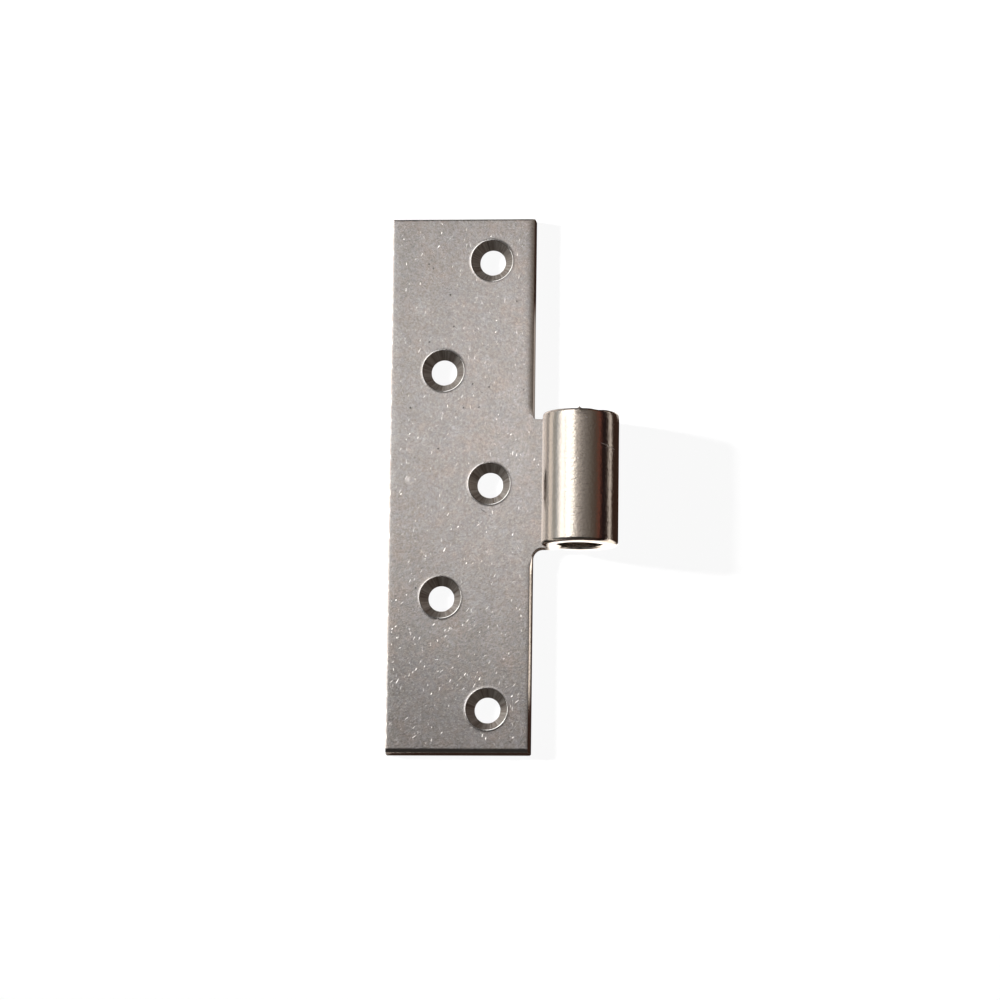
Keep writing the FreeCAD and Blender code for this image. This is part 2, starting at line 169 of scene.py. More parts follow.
# Scratches and nicks on the front: x, y, length and turn in degrees
MARKS = (
    (-29.2, 54, 0.4, 90), (-29.3, 52.2, 0.7, 85), (-27.1, 51.4, 0.7, 55), (-33.8, 51.4, 0.5, 60),
    (-37.1, 50.9, 0.4, 90), (-29.9, 49.3, 0.8, 55), (-33.2, 47.8, 1, 68), (-34.6, 46.7, 0.6, 60),
    (-36.5, 45.7, 0.8, 88), (-33.6, 41.6, 0.7, 80), (-36.5, 40.3, 1, 85), (-20.8, 37.5, 0.5, 90),
    (-24.5, 36.9, 0.5, 90), (-19.2, 35.6, 0.6, 70), (-17.8, 33.8, 0.5, 40), (-17.9, 31.4, 0.5, 60),
    (-19.1, 51.4, 0.5, 80), (-12.7, 53.5, 1, 170), (-33.4, 29.7, 0.5, 60), (-26.8, 28.9, 0.6, 120),
    (-28.1, 28.4, 0.6, 80), (-12.5, 25.5, 0.5, 60), (-13.8, 24.6, 0.6, 90), (-12.1, 24.8, 0.6, 120),
    (-14.4, 22.7, 0.5, 30), (-27.6, 16.1, 0.6, 85), (-17.1, 14.3, 0.5, 60), (-17.5, 13.3, 0.5, 80),
    (-25.9, 13.7, 0.6, 70), (-24.8, 13.1, 0.5, 60), (-27.5, 10.2, 0.8, 50), (-28, 9.3, 0.6, 60),
    (-33.6, 9.5, 0.6, 60), (-36, 9.2, 0.5, 90), (-35.3, 10.3, 0.5, 60), (-17.3, 10.5, 0.6, 120),
    (-15.2, 10.4, 0.5, 120), (-14.5, 10.2, 0.5, 60), (-10.8, 10.6, 0.5, 90), (-14.1, 6.3, 1.1, 82),
    (-13.3, 5.9, 0.8, 88), (-12.5, 6, 0.9, 118), (-11.5, 5.8, 0.9, 122), (-9.7, 5, 0.7, 85),
    (-8.8, 4, 0.8, 110), (-13.5, 9, 0.5, 60), (-23.1, 4.2, 0.4, 90), (-19.9, -5.7, 1.9, 143),
    (-18.7, -6.6, 0.8, 168), (-18.1, -5.9, 1, 95), (-20.9, -8.1, 1.2, 115), (-13.9, -10.5, 0.7, 65),
    (-26.5, -9.4, 0.5, 60), (-25.1, -8.9, 0.5, 60), (-28.2, -5, 0.6, 60), (-31.7, -15.2, 1.4, 80),
    (-27.8, -13.6, 1.2, 65), (-13.8, -14.2, 0.4, 90), (-15.2, -12.3, 1.2, 175), (-36.9, -2.1, 0.6, 60),
    (-23.3, -16.4, 0.6, 60), (-22, -16.4, 0.5, 60), (-20.2, -16, 0.5, 60), (-18.1, -16.5, 0.5, 90),
    (-34.6, -18.4, 0.6, 120), (-33.9, -19.7, 0.7, 70), (-35.5, -22.9, 0.5, 90), (-38.5, -24.2, 0.7, 100),
    (-37.6, -24, 0.5, 50), (-22.2, -26.1, 0.9, 92), (-21.9, -27.6, 0.6, 115), (-21.5, -28.3, 0.6, 125),
    (-23.9, -29.1, 0.7, 75), (-27.5, -30.2, 0.6, 60), (-26.7, -30, 1.2, 68), (-20.7, -30.8, 0.8, 125),
    (-34.8, -29.9, 0.9, 95), (-34.5, -30.9, 0.8, 68), (-33.8, -31.8, 0.9, 68), (-33.6, -33, 0.6, 100),
    (-29, -32.3, 0.6, 92), (-30.4, -33.1, 0.8, 85), (-37.3, -31.7, 0.5, 60), (-37.6, -29.4, 0.6, 50),
    (-38.3, -29.9, 0.6, 50), (-36.8, -31, 0.5, 160), (-38.4, -33.1, 0.5, 90), (-32.1, -34.1, 1.7, 90),
    (-14.4, -34.9, 0.5, 80), (-15.4, -36, 0.5, 60), (-24.8, -36, 0.6, 130), (-29.2, -36.2, 1.4, 178),
    (-32.4, -36.6, 0.8, 60), (-31.6, -37.6, 0.5, 60), (-37.9, -38.2, 0.8, 95), (-11.9, -30.2, 0.6, 90),
    (-12.3, -25.9, 0.8, 60), (-12, -27.2, 0.6, 90), (-38.3, -40.7, 1.1, 40), (-37.1, -40.6, 1.4, 62),
    (-35.6, -39.7, 1, 55), (-34.7, -39.4, 0.9, 75), (-34, -38.8, 0.7, 60), (-33.3, -38.2, 0.8, 50),
    (-31.7, -42.4, 0.9, 85), (-30.1, -43.2, 0.6, 60), (-30.4, -39.4, 0.5, 90), (-23.3, -39.2, 0.8, 60),
    (-24.3, -40.1, 1.2, 42), (-26.3, -40.5, 1, 65), (-25.8, -42, 0.8, 120), (-24.8, -41.4, 0.6, 60),
    (-23.6, -42.2, 0.8, 40), (-22.4, -42.6, 0.6, 170), (-21.4, -41.5, 1.3, 62), (-21.2, -39.8, 1, 62),
    (-20.3, -40.1, 1, 68), (-20.8, -38.8, 0.6, 60), (-27.1, -44, 0.6, 90), (-26.5, -45.6, 0.6, 80),
    (-25.3, -44.2, 0.8, 125), (-13.7, -43.7, 0.6, 45), (-12.4, -43.3, 0.6, 60), (-12.7, -44.8, 1.4, 42),
    (-35, -49.5, 0.8, 110), (-30.7, -49.2, 0.8, 110), (-30, -50, 0.7, 110), (-29, -50.1, 0.6, 130),
    (-19.6, -51.7, 0.9, 80), (-18.9, -52.3, 0.8, 85), (-16.2, -52.1, 0.8, 120), (-13.9, -53, 0.8, 150),
    (-13.4, -52.1, 0.6, 50), (-38.4, -48, 1, 115), (-29.8, -29, 0.8, 50), (-29.3, -28.1, 0.8, 10),
)
# Half a scratch's width, the depth of the deepest, and the least and the largest
# share of it that the others have
MARK_SIDE, MARK_DEPTH, MARK_DEPTH_SHARES = 0.075, 0.035, (0.2, 1)
# How far from its middle a scratch's deepest line lies, as a share of MARK_SIDE,
# in which direction, and the share of its length over which it is full wide
MARK_LEAN, MARK_LEANS_TO, MARK_FULL_SHARE = 0.75, Vector((-1, 0.3)), 0.4

# Faint scratches between those: how many, how long, how deep, and the middle and
# spread of their turns in degrees
FAINT_COUNT, FAINT_LENGTHS, FAINT_DEPTHS = 290, (0.25, 1.3), (0.006, 0.018)
FAINT_TURNS = (80, 35)
# How far their middles stay from the far side and from the two ends, and their
# own ends from the countersinks
FAR_MARGIN, LOWER_MARGIN, UPPER_MARGIN, SINK_MARGIN = 0.5, 1.5, 1, 0.3

# Dark pits in the front: x and y
PITS = (
    (-31.8, 45.6), (-30.9, 44.7), (-27.3, 39.2), (-13.6, 37.8), (-26.5, 32.6), (-31.5, 29.4),
    (-19.1, 20.0), (-22.5, 20.6), (-35.2, 15.7), (-16.6, 15.6), (-24.3, 15.7), (-21.1, 15.8),
    (-29.4, 7.2), (-12.0, 19.4), (-33.6, -21.5),
)
PIT_RADIUS, PIT_DEPTH = 0.2, 0.09

# The far side's rubbed patches: how bright and how narrow they are, and how far
# in from the side they reach
RUB_GAIN, RUB_LOSS, RUB_WIDTH = 3.5, 0.3, 0.3
# How far the front has to fall for its colour to be that of the rolled part, and
# how far from the knuckle's upper end its cut look begins
POLISH_FALL, CUT_REACH = 0.1, 0.1


def quarter_round(inset, radius):
    """How far a rounded edge has fallen at this distance from it."""
    reach = min(max(radius - inset, 0), radius)
    return radius - math.sqrt(radius * radius - reach * reach)


def round_steps(radius, count):
    """Distances from a rounded edge at which its quarter turn is divided evenly."""
    return [radius * (1 - math.cos(math.pi / 2 * k / count)) for k in range(1, count + 1)]


def side_widths(y):
    """How far in from the near side its edge is drawn down, bevelled and steep."""
    beyond = max(y - HALF_TAB - UPPER_NOTCH, -y - HALF_TAB - LOWER_NOTCH)
    if beyond < 0:
        return 0, 0, 0
    share = SIDE_LAST_SHARE + (1 - SIDE_LAST_SHARE) * min(beyond / SIDE_FADE, 1)
    half = 0 if y > 0 else 1
    draw, bevel, steep = (widths[half] * share for widths in (SIDE_DRAWS, SIDE_BEVELS, SIDE_STEEPS))
    return draw, steep + bevel, steep


def side_fall(inset, y):
    """How far the near side's edge has fallen at this distance from it."""
    draw, bevel, steep = side_widths(y)
    if not draw:
        return 0
    drawn = SIDE_DRAW_SLOPE * draw / 4 * max(1 - inset / draw, 0) ** 4
    bevelled = SIDE_BEVEL_SLOPE * max(bevel - max(inset, steep), 0)
    return drawn + bevelled + SIDE_STEEP_SLOPE * max(steep - inset, 0)


def side_insets(y):
    """Distances from the near side's edge at which its rounding needs a row."""
    draw, bevel, steep = side_widths(y)
    bevelled = [steep + (bevel - steep) * share for share in BEVEL_SHARES]
    drawn = [bevel + (draw - bevel) * share for share in DRAW_SHARES]
    return bevelled + drawn + [draw + GUARD]


def notch_centre(sign):
    """The middle and radius of the notch above the knuckle, or of that below it."""
    radius = UPPER_NOTCH if sign > 0 else LOWER_NOTCH
    return NEAR_SIDE + radius, sign * (HALF_TAB + radius), radius


def from_sinks(x, y):
    """How far a place on the front lies from the nearest countersink's mouth."""
    return min(math.hypot(x - hole_x, y - hole_y) for hole_x, hole_y in HOLES) - SINK_RADIUS


def rim_rise(x, y):
    """The burr that stands round each countersink, and falls into its mouth."""
    return float(np.interp(from_sinks(x, y), SINK_LIP_PLACES, SINK_LIP_HEIGHTS))


def front_height(x, y):
    """Height of the front over a place on the leaf, without its marks."""
    falls = [
        quarter_round(UPPER_END - y, UPPER_ARRIS),
        quarter_round(y - LOWER_END, LOWER_ARRIS),
        side_fall(NEAR_SIDE - x, y),
    ]
    for sign in (1, -1):
        centre_x, centre_y, notch = notch_centre(sign)
        if x > NEAR_SIDE - TAB_ROUND and x <= centre_x and sign * y <= sign * centre_y:
            inset = math.hypot(x - centre_x, y - centre_y) - notch
            falls.append(quarter_round(inset, TAB_ROUND))
        elif x > centre_x:
            falls.append(quarter_round(HALF_TAB - sign * y, TAB_ROUND))
    from_far_side = x - FAR_SIDE
    roll_over = ROLL_OVER_DEPTH * max(1 - from_far_side / ROLL_OVER_WIDTH, 0) ** 2
    return FRONT - max(falls) - roll_over + rim_rise(x, y)


def spread(start, end, step):
    """Values from start to end at about this step, both ends included."""
    count = max(1, round(abs(end - start) / step))
    return [start + (end - start) * k / count for k in range(count + 1)]


def arc_points(centre_x, centre_y, radius, first, last, step=10):
    """Points of an arc between two turns, in degrees."""
    turns = [math.radians(turn) for turn in spread(first, last, step)]
    return [(centre_x + radius * math.cos(t), centre_y + radius * math.sin(t)) for t in turns]


def tab_rows():
    """The heights along the tab at which the flat mesh and the strip meet."""
    inner = spread(-HALF_TAB + TAB_ROUND, HALF_TAB - TAB_ROUND, TAB_STEP)
    edge = [HALF_TAB - inset for inset in round_steps(TAB_ROUND, TAB_ROUND_ROWS)[-2::-1]]
    return [-HALF_TAB, *(-y for y in reversed(edge)), *inner, *edge, HALF_TAB]


def ragged_side(y):
    """Where the far side's upper edge lies, which is torn here and there."""
    broad, fine = noise.noise(Vector((0, y * 1.3, 7))), noise.noise(Vector((3, y * 4, 1)))
    return FAR_SIDE + RAGGED_DEPTH * (1.5 * max(broad + 0.6 * fine, 0) - 1)


def leaf_outline():
    """The flat leaf and its tab, anticlockwise from the far side's lower corner."""
    corner_x = NEAR_SIDE - CORNER_RADIUS
    low_corner, high_corner = LOWER_END + CORNER_RADIUS, UPPER_END - CORNER_RADIUS
    upper_x, upper_y, _ = notch_centre(1)
    lower_x, lower_y, _ = notch_centre(-1)
    points = [(x, LOWER_END) for x in spread(FAR_SIDE, corner_x, LATTICE)[:-1]]
    points += arc_points(corner_x, low_corner, CORNER_RADIUS, 270, 360)
    points += [(NEAR_SIDE, y) for y in spread(low_corner, lower_y, LATTICE)[1:-1]]
    points += arc_points(lower_x, lower_y, LOWER_NOTCH, 180, 90)
    points += [(JOIN, y) for y in tab_rows()]
    points += [((JOIN + upper_x) / 2, HALF_TAB)]
    points += arc_points(upper_x, upper_y, UPPER_NOTCH, 270, 180)
    points += [(NEAR_SIDE, y) for y in spread(upper_y, high_corner, LATTICE)[1:-1]]
    points += arc_points(corner_x, high_corner, CORNER_RADIUS, 0, 90)
    points += [(x, UPPER_END) for x in spread(corner_x, FAR_SIDE, LATTICE)[1:]]
    points += [(ragged_side(y), y) for y in spread(UPPER_END, LOWER_END, RAGGED_STEP)[1:-1]]
    return points


def inside(outline, places):
    """Which of these places lie inside a closed outline."""
    x, y = places[:, 0], places[:, 1]
    found = np.zeros(len(places), bool)
    for (x0, y0), (x1, y1) in zip(outline, outline[1:] + outline[:1]):
        if y0 != y1:
            crosses = ((y0 > y) != (y1 > y)) & (x < x0 + (y - y0) * (x1 - x0) / (y1 - y0))
            found ^= crosses
    return found


def place_key(x, y):
    """What a point of the plan is known by once the front is in triangles."""
    return round(x, 3), round(y, 3)


class Plan:
    """Points and edges that the front's triangles have to keep to.

    It also records how deep and how worn the marks are, where they begin, and
    which points are the bottoms of pits.
    """

    def __init__(self):
        self.points = []
        self.edges = []
        self.depths = {}
        self.brims = set()
        self.pits = set()

    def path(self, points, closed=False):
        """Add a line through these points."""
        first = len(self.points)
        self.points += [Vector(point) for point in points]
        self.edges += [(k, k + 1) for k in range(first, len(self.points) - 1)]
        if closed:
            self.edges.append((len(self.points) - 1, first))

    def brim(self, points):
        """Add the closed line at which a mark begins."""
        self.path(points, closed=True)
        self.brims.update(place_key(*point) for point in points)

    def sink(self, x, y, depth, wear):
        self.depths[place_key(x, y)] = depth, wear


def add_arris_rows(plan):
    """Lines along each rounded edge, close enough to turn smoothly."""
    across = [FAR_SIDE - OVERRUN, *spread(FAR_SIDE, NEAR_SIDE, LATTICE), NEAR_SIDE + OVERRUN]
    for inset in (*round_steps(UPPER_ARRIS, UPPER_ARRIS_ROWS), UPPER_ARRIS + GUARD):
        plan.path([(x, UPPER_END - inset) for x in across])
    for inset in (*round_steps(LOWER_ARRIS, LOWER_ARRIS_ROWS), LOWER_ARRIS + GUARD):
        plan.path([(x, LOWER_END + inset) for x in across])
    for sign, notch, end in ((1, UPPER_NOTCH, UPPER_END), (-1, LOWER_NOTCH, LOWER_END)):
        last = sign * (HALF_TAB + notch)
        stations = [last, *spread(last + sign * SIDE_FADE, end, LATTICE), end + sign * OVERRUN]
        for insets in zip(*(side_insets(y) for y in stations)):
            plan.path([(NEAR_SIDE - inset, y) for inset, y in zip(insets, stations)])
        centre_x, centre_y, radius = notch_centre(sign)
        ends = (180, 270) if sign > 0 else (90, 180)
        for inset in (*round_steps(TAB_ROUND, TAB_ROUND_ROWS), TAB_ROUND + GUARD):
            plan.path(arc_points(centre_x, centre_y, radius + inset, *ends))
            plan.path([(centre_x, sign * (HALF_TAB - inset)), (JOIN, sign * (HALF_TAB - inset))])
    for inset in ROLL_OVER_ROWS:
        plan.path([(FAR_SIDE + inset, y) for y in spread(LOWER_END, UPPER_END, RAGGED_STEP)])


def faint_marks():
    """Fine scratches all over the front, most of them near upright."""
    chance = random.Random(5)
    found = []
    while len(found) < FAINT_COUNT:
        x = chance.uniform(FAR_SIDE + FAR_MARGIN, NEAR_SIDE - SIDE_DRAWS[0])
        y = chance.uniform(LOWER_END + LOWER_MARGIN, UPPER_END - UPPER_MARGIN)
        length, depth = chance.uniform(*FAINT_LENGTHS), chance.uniform(*FAINT_DEPTHS)
        turn = chance.gauss(*FAINT_TURNS)
        if from_sinks(x, y) > SINK_MARGIN + length / 2:
            found.append((x, y, length, turn, depth))
    return found


def deep_marks():
    """The marks that stand out, some deeper than others."""
    chance = random.Random(2)
    return [(*mark, MARK_DEPTH * chance.uniform(*MARK_DEPTH_SHARES)) for mark in MARKS]


def add_scratch(plan, x, y, length, turn, depth):
    """Cut a scratch as a lopsided V that is pointed at both ends."""
    along = Vector((math.cos(math.radians(turn)), math.sin(math.radians(turn))))
    side = Vector((-along.y, along.x)) * MARK_SIDE
    middle, half = Vector((x, y)), along * length / 2
    first, last = middle - half * MARK_FULL_SHARE, middle + half * MARK_FULL_SHARE
    plan.brim([middle - half, first - side, last - side, middle + half, last + side, first + side])
    lean = side * math.copysign(MARK_LEAN, side.dot(MARK_LEANS_TO))
    deepest = (first + lean, last + lean)
    plan.path([middle - half, *deepest, middle + half])
    for place in deepest:
        plan.sink(*place, depth, depth / MARK_DEPTH)


def add_pit(plan, x, y):
    """Cut a pit as a small cone with six sides."""
    plan.brim(arc_points(x, y, PIT_RADIUS, 0, 300, 60))
    plan.path([(x, y)])
    plan.sink(x, y, PIT_DEPTH, 0)
    plan.pits.add(place_key(x, y))


def add_lattice(plan):
    """Plain points over the flat of the front, away from its holes and edges."""
    for x in spread(FAR_SIDE + ROLL_OVER_WIDTH, JOIN, LATTICE)[1:]:
        for y in spread(LOWER_END, UPPER_END, LATTICE):
            on_leaf = x < NEAR_SIDE - SIDE_DRAWS[0] or abs(y) < HALF_TAB - TAB_ROUND
            if on_leaf and from_sinks(x, y) > SINK_CLEARANCE:
                plan.path([(x, y)])


def front_plan(outline):
    """All that the front's triangles have to keep to."""
    plan = Plan()
    plan.path(outline, closed=True)
    turns = [math.tau * k / SINK_SEGMENTS for k in range(SINK_SEGMENTS)]
    for centre_x, centre_y in HOLES:
        for outside in (*SINK_LIP_PLACES, SINK_GUARD):
            radius = SINK_RADIUS + outside
            ring = [(centre_x + radius * math.cos(t), centre_y + radius * math.sin(t)) for t in turns]
            plan.path(ring, closed=True)
    add_arris_rows(plan)
    for mark in deep_marks() + faint_marks():
        add_scratch(plan, *mark)
    for pit in PITS:
        add_pit(plan, *pit)
    add_lattice(plan)
    return plan


def edge_wear(x, y):
    """Patches of the far side's edge that are rubbed bright."""
    rubbed = RUB_GAIN * noise.noise(Vector((0, y * 0.8, 12))) - RUB_LOSS
    return min(max(rubbed, 0), 1) * max(1 - (x - FAR_SIDE) / RUB_WIDTH, 0)


def rim_wear(x, y):
    """How bright the burr round each countersink is rubbed, which is up to its top."""
    return min(max(2 - from_sinks(x, y) / SINK_LIP_PLACES[1], 0), 1)


def add_front(bm, layers):
    """The front as triangles between its outline and the countersinks.

    Returns the edges at which its marks begin.
    """
    outline = leaf_outline()
    plan = front_plan(outline)
    places, _, triangles, *_ = delaunay_2d_cdt(plan.points, plan.edges, [], 0, MERGE_DISTANCE)
    flat = np.array([tuple(place) for place in places])
    middles = flat[np.array(triangles)].mean(axis=1)
    keep = inside(outline, middles)
    for centre in HOLES:
        keep &= np.hypot(*(middles - centre).T) > SINK_RADIUS * math.cos(math.pi / SINK_SEGMENTS)
    verts, brims, sunk = {}, set(), set()
    for triangle in (t for t, kept in zip(triangles, keep) if kept):
        corners = []
        for index in triangle:
            if index not in verts:
                x, y = places[index]
                key = place_key(x, y)
                depth, wear = plan.depths.get(key, (0, 0))
                height = front_height(x, y)
                verts[index] = bm.verts.new((x, y, height - depth))
                verts[index][layers.stain] = 1 if key in plan.pits else 0
                verts[index][layers.polish] = min((FRONT - height) / POLISH_FALL, 1)
                verts[index][layers.wear] = max(wear, edge_wear(x, y), rim_wear(x, y))
                if key in plan.depths:
                    sunk.add(verts[index])
                elif key in plan.brims:
                    brims.add(verts[index])
            corners.append(verts[index])
        bm.faces.new(corners)
    found = []
    for edge in bm.edges:
        if edge.verts[0] in brims and edge.verts[1] in brims:
            inner = [face for face in edge.link_faces if not sunk.isdisjoint(face.verts)]
            if len(inner) == 1:
                found.append(edge)
    return found


def boundary_loops(bm):
    """Each open edge of the mesh as a ring of vertices, in its faces' own order."""
    following = {}
    for edge in bm.edges:
        if edge.is_boundary:
            corner = edge.link_loops[0]
            following[corner.vert] = corner.link_loop_next.vert
    loops = []
    while following:
        start, vert = following.popitem()
        loop = [start]
        while vert != start:
            loop.append(vert)
            vert = following.pop(vert)
        loops.append(loop)
    return loops


def bridge(bm, upper, lower, closed=False):
    """Faces between two rows of vertices, which are as long as each other."""
    pairs = list(zip(upper, lower))
    if closed:
        pairs.append(pairs[0])
    return [
        bm.faces.new((b, a, below_a, below_b))
        for (a, below_a), (b, below_b) in zip(pairs, pairs[1:])
    ]


def new_vert(bm, layers, place, polish=0, cut=0):
    vert = bm.verts.new(place)
    vert[layers.polish] = polish
    vert[layers.cut] = cut
    return vert


def ring_noise(turn, scale, along):
    """Noise, from -1 to 1, that meets itself once round."""
    return noise.noise(Vector((scale * math.cos(turn), scale * math.sin(turn), along)))


def chatter(number, turn, radius):
    """How far the countersinking tool shook out of its cone, in millimetres."""
    lobes = math.sin((8 + number % 3) * turn + number + radius)
    return CHATTER_EVEN * lobes + CHATTER_UNEVEN * ring_noise(turn, 4, number + 2 * radius)


def dullness(number, turn):
    """How dull the cone is down this side of it, from 0 to 1."""
    fine, broad = ring_noise(turn, 16, 5 * number), ring_noise(turn, 3, 5 * number + 2)
    return min(max(0.5 + 0.9 * fine + 0.5 * broad, 0), 1)


def add_countersink(bm, layers, mouth):
    """The cone and the short straight land below a hole's mouth."""
    middle = sum((v.co.xy for v in mouth), Vector((0, 0))) / len(mouth)
    number, centre = min(enumerate(HOLES), key=lambda hole: (Vector(hole[1]) - middle).length)
    land = FRONT - (SINK_RADIUS - HOLE_RADIUS) / math.tan(SINK_ANGLE / 2)
    top = min(v.co.z for v in mouth)
    turns = [math.atan2(v.co.y - centre[1], v.co.x - centre[0]) for v in mouth]
    cone = [(SINK_RADIUS + (HOLE_RADIUS - SINK_RADIUS) * s, top + (land - top) * s) for s in SINK_SHARES]
    rows = cone + [(HOLE_RADIUS, land + (BACK - land) * s) for s in LAND_SHARES]
    upper = mouth
    for row, (radius, height) in enumerate(rows):
        lower = []
        for turn in turns:
            shake = chatter(number, turn, radius) if row < len(cone) else 0
            x = centre[0] + (radius + shake) * math.cos(turn)
            y = centre[1] + (radius + shake) * math.sin(turn)
            vert = new_vert(bm, layers, (x, y, height), cut=1)
            vert[layers.turned] = 1
            vert[layers.dull] = dullness(number, turn)
            lower.append(vert)
        for segment, face in enumerate(bridge(bm, upper, lower, closed=True)):
            for corner, (down, along) in zip(face.loops, ((0, 1), (0, 0), (1, 0), (1, 1))):
                corner[layers.grooves].uv = (row + down, segment + along)
        upper = lower
    return upper


def broken_depth(y, share):
    """How far the far side stands back, at this share of the way down it."""
    broken = max(share - BROKEN_FROM, 0)
    grain = 0.5 + 0.5 * noise.noise(Vector((share * 2, y * 2.2, 4)))
    return BROKEN_SLOPE * broken * grain + SIDE_GRAIN * noise.noise(Vector((0, y * 5, 2)))


def add_walls(bm, layers, chain):
    """The leaf's cut sides, from the front's outline down to the back."""
    rows = [chain]
    for row in range(1, WALL_ROWS + 1):
        share = row / WALL_ROWS
        lower = []
        for vert in chain:
            x, y, top = vert.co
            if x < FAR_SIDE + 2 * RAGGED_DEPTH and LOWER_END < y < UPPER_END:
                x += broken_depth(y, share)
            place = (x, y, top + (BACK - top) * share)
            lower.append(new_vert(bm, layers, place, cut=1))
        bridge(bm, rows[-1], lower)
        rows.append(lower)
    return rows


def section_column(rim):
    """The strip's end face in section, from the bore wall out to the outer wall.

    Each point is its distance along the axis from the end, and its height
    above the outer wall.
    """
    flat = THICKNESS - BORE_CHAMFER - rim
    flats = [(0, rim + flat * (1 - k / (COLUMN_FLATS - 1))) for k in range(COLUMN_FLATS)]
    turn = [math.pi / 2 * k / RIM_STEPS for k in range(1, RIM_STEPS + 1)]
    return flats + [(rim - rim * math.cos(t), rim - rim * math.sin(t)) for t in turn]


def roll_section(tab_front):
    """The knuckle's section, point for point with the ring at the tab's end.

    tab_front is the ring's height along the axis at each point of its front.
    """
    mouth = HALF_ROLL - BORE_CHAMFER
    upper, lower = section_column(UPPER_RIM), section_column(LOWER_RIM)
    bore = [(y / HALF_TAB * mouth, THICKNESS) for y in tab_front]
    outer = []
    for y in reversed(tab_front):
        rim = UPPER_RIM if y > 0 else LOWER_RIM
        outer.append((y / HALF_TAB * (HALF_ROLL - rim), 0))
    upper_end = [(HALF_ROLL - along, height) for along, height in upper[:-1]]
    lower_end = [(along - HALF_ROLL, height) for along, height in reversed(lower[:-1])]
    return bore + upper_end + outer + lower_end


def roll_place(turn, y, height):
    """A point of the strip once it is bent round the pin's axis."""
    wave = ROLL_WAVE * ring_noise(turn, 4, y * 0.12)
    crown = CROWN_DEPTH * (max(y - HALF_ROLL + CROWN_LENGTH, 0) / CROWN_LENGTH) ** CROWN_POWER
    radius = ROLL_RADIUS - height + wave - crown
    if y > HALF_ROLL - UPPER_RIM:
        outer = math.exp(-((height - RIM_FLAW_LAYER) ** 2) / RIM_FLAW_SPREAD)
        for middle, extent, rise in RIM_FLAWS:
            away = (math.degrees(turn) - middle) / extent
            y += rise * outer * math.exp(-away * away)
    x = radius * math.sin(turn) + BULGE * math.sin(turn) ** 2
    return x, y, -radius * math.cos(turn)


def add_strip(bm, layers, ring, tab_front):
    """Sweep the ring at the tab's end along the tab and round into the knuckle."""
    flat = [(vert.co.y, vert.co.z - BACK) for vert in ring]
    rolled = roll_section(tab_front)
    turns = spread(0, ROLL_END, ROLL_STEP)
    stations = [(JOIN * (1 - k / STRAIGHT_STEPS), 0) for k in range(1, STRAIGHT_STEPS)]
    stations += [(0, turn) for turn in turns]
    for x, turn in stations:
        share = min(max((x - JOIN) / -JOIN, 0), 1)
        share = share * share * (3 - 2 * share)
        lower = []
        for (flat_y, flat_height), (roll_y, roll_height) in zip(flat, rolled):
            y = flat_y + (roll_y - flat_y) * share
            height = flat_height + (roll_height - flat_height) * share
            place = (x, y, BACK + height) if x < 0 else roll_place(turn, y, height)
            at_end = min(max((y - HALF_ROLL + CUT_REACH) / CUT_REACH, 0), 1)
            lower.append(new_vert(bm, layers, place, polish=share, cut=at_end * share))
        bridge(bm, ring, lower, closed=True)
        ring = lower
    bm.faces.new(reversed(ring))


RECORDS = ("polish", "cut", "wear", "turned", "dull", "stain")


class Layers:
    """The mesh's own records of where it is polished, cut, worn and so on."""

    def __init__(self, bm):
        for name in RECORDS:
            setattr(self, name, bm.verts.layers.float.new(name))
        # Its first direction runs down each cone, across the tool's grooves
        self.grooves = bm.loops.layers.uv.new("grooves")


def close_back(bm, hole_bottoms, side_bottom, tab_back):
    """Fill the flat back between the holes, the leaf's sides and its rolled tab."""
    rims = [zip(loop, loop[1:] + loop[:1]) for loop in hole_bottoms]
    rims += [zip(side_bottom, side_bottom[1:]), zip(tab_back, tab_back[1:])]
    edges = [bm.edges.get(pair) or bm.edges.new(pair) for rim in rims for pair in rim]
    bmesh.ops.triangle_fill(bm, use_beauty=True, edges=edges, normal=(0, 0, -1))
    bmesh.ops.recalc_face_normals(bm, faces=bm.faces)


def set_shading(bm, mark_edges):
    """Smooth shading, but for the sharp edges and those where a mark begins."""
    for face in bm.faces:
        face.smooth = True
    for edge in bm.edges:
        edge.smooth = edge.calc_face_angle(0) < SHARP_ANGLE
    for edge in mark_edges:
        edge.smooth = False


def leaf_mesh():
    """The whole leaf as one closed mesh, in millimetres."""
    bm = bmesh.new()
    layers = Layers(bm)
    mark_edges = add_front(bm, layers)
    *mouths, around = sorted(boundary_loops(bm), key=len)
    hole_bottoms = [add_countersink(bm, layers, mouth) for mouth in mouths]
    # The ring round the outline is made to begin with the tab's front
    at_join = [abs(vert.co.x - JOIN) < JOIN_TOLERANCE for vert in around]
    first = next(k for k, here in enumerate(at_join) if here and not at_join[k - 1])
    around = around[first:] + around[:first]
    tab_count = sum(at_join)
    tab_front = around[:tab_count]
    rows = add_walls(bm, layers, around[tab_count - 1 :] + around[:1])
    tab_heights = [vert.co.y for vert in tab_front]
    tab_back = [
        rows[-1][0],
        *(new_vert(bm, layers, (JOIN, y, BACK)) for y in reversed(tab_heights[1:-1])),
        rows[-1][-1],
    ]
    upper_column = [row[0] for row in rows[1:-1]]
    lower_column = [row[-1] for row in reversed(rows[1:-1])]
    add_strip(bm, layers, tab_front + upper_column + tab_back + lower_column, tab_heights)
    close_back(bm, hole_bottoms, rows[-1], tab_back)
    set_shading(bm, mark_edges)
    return bm


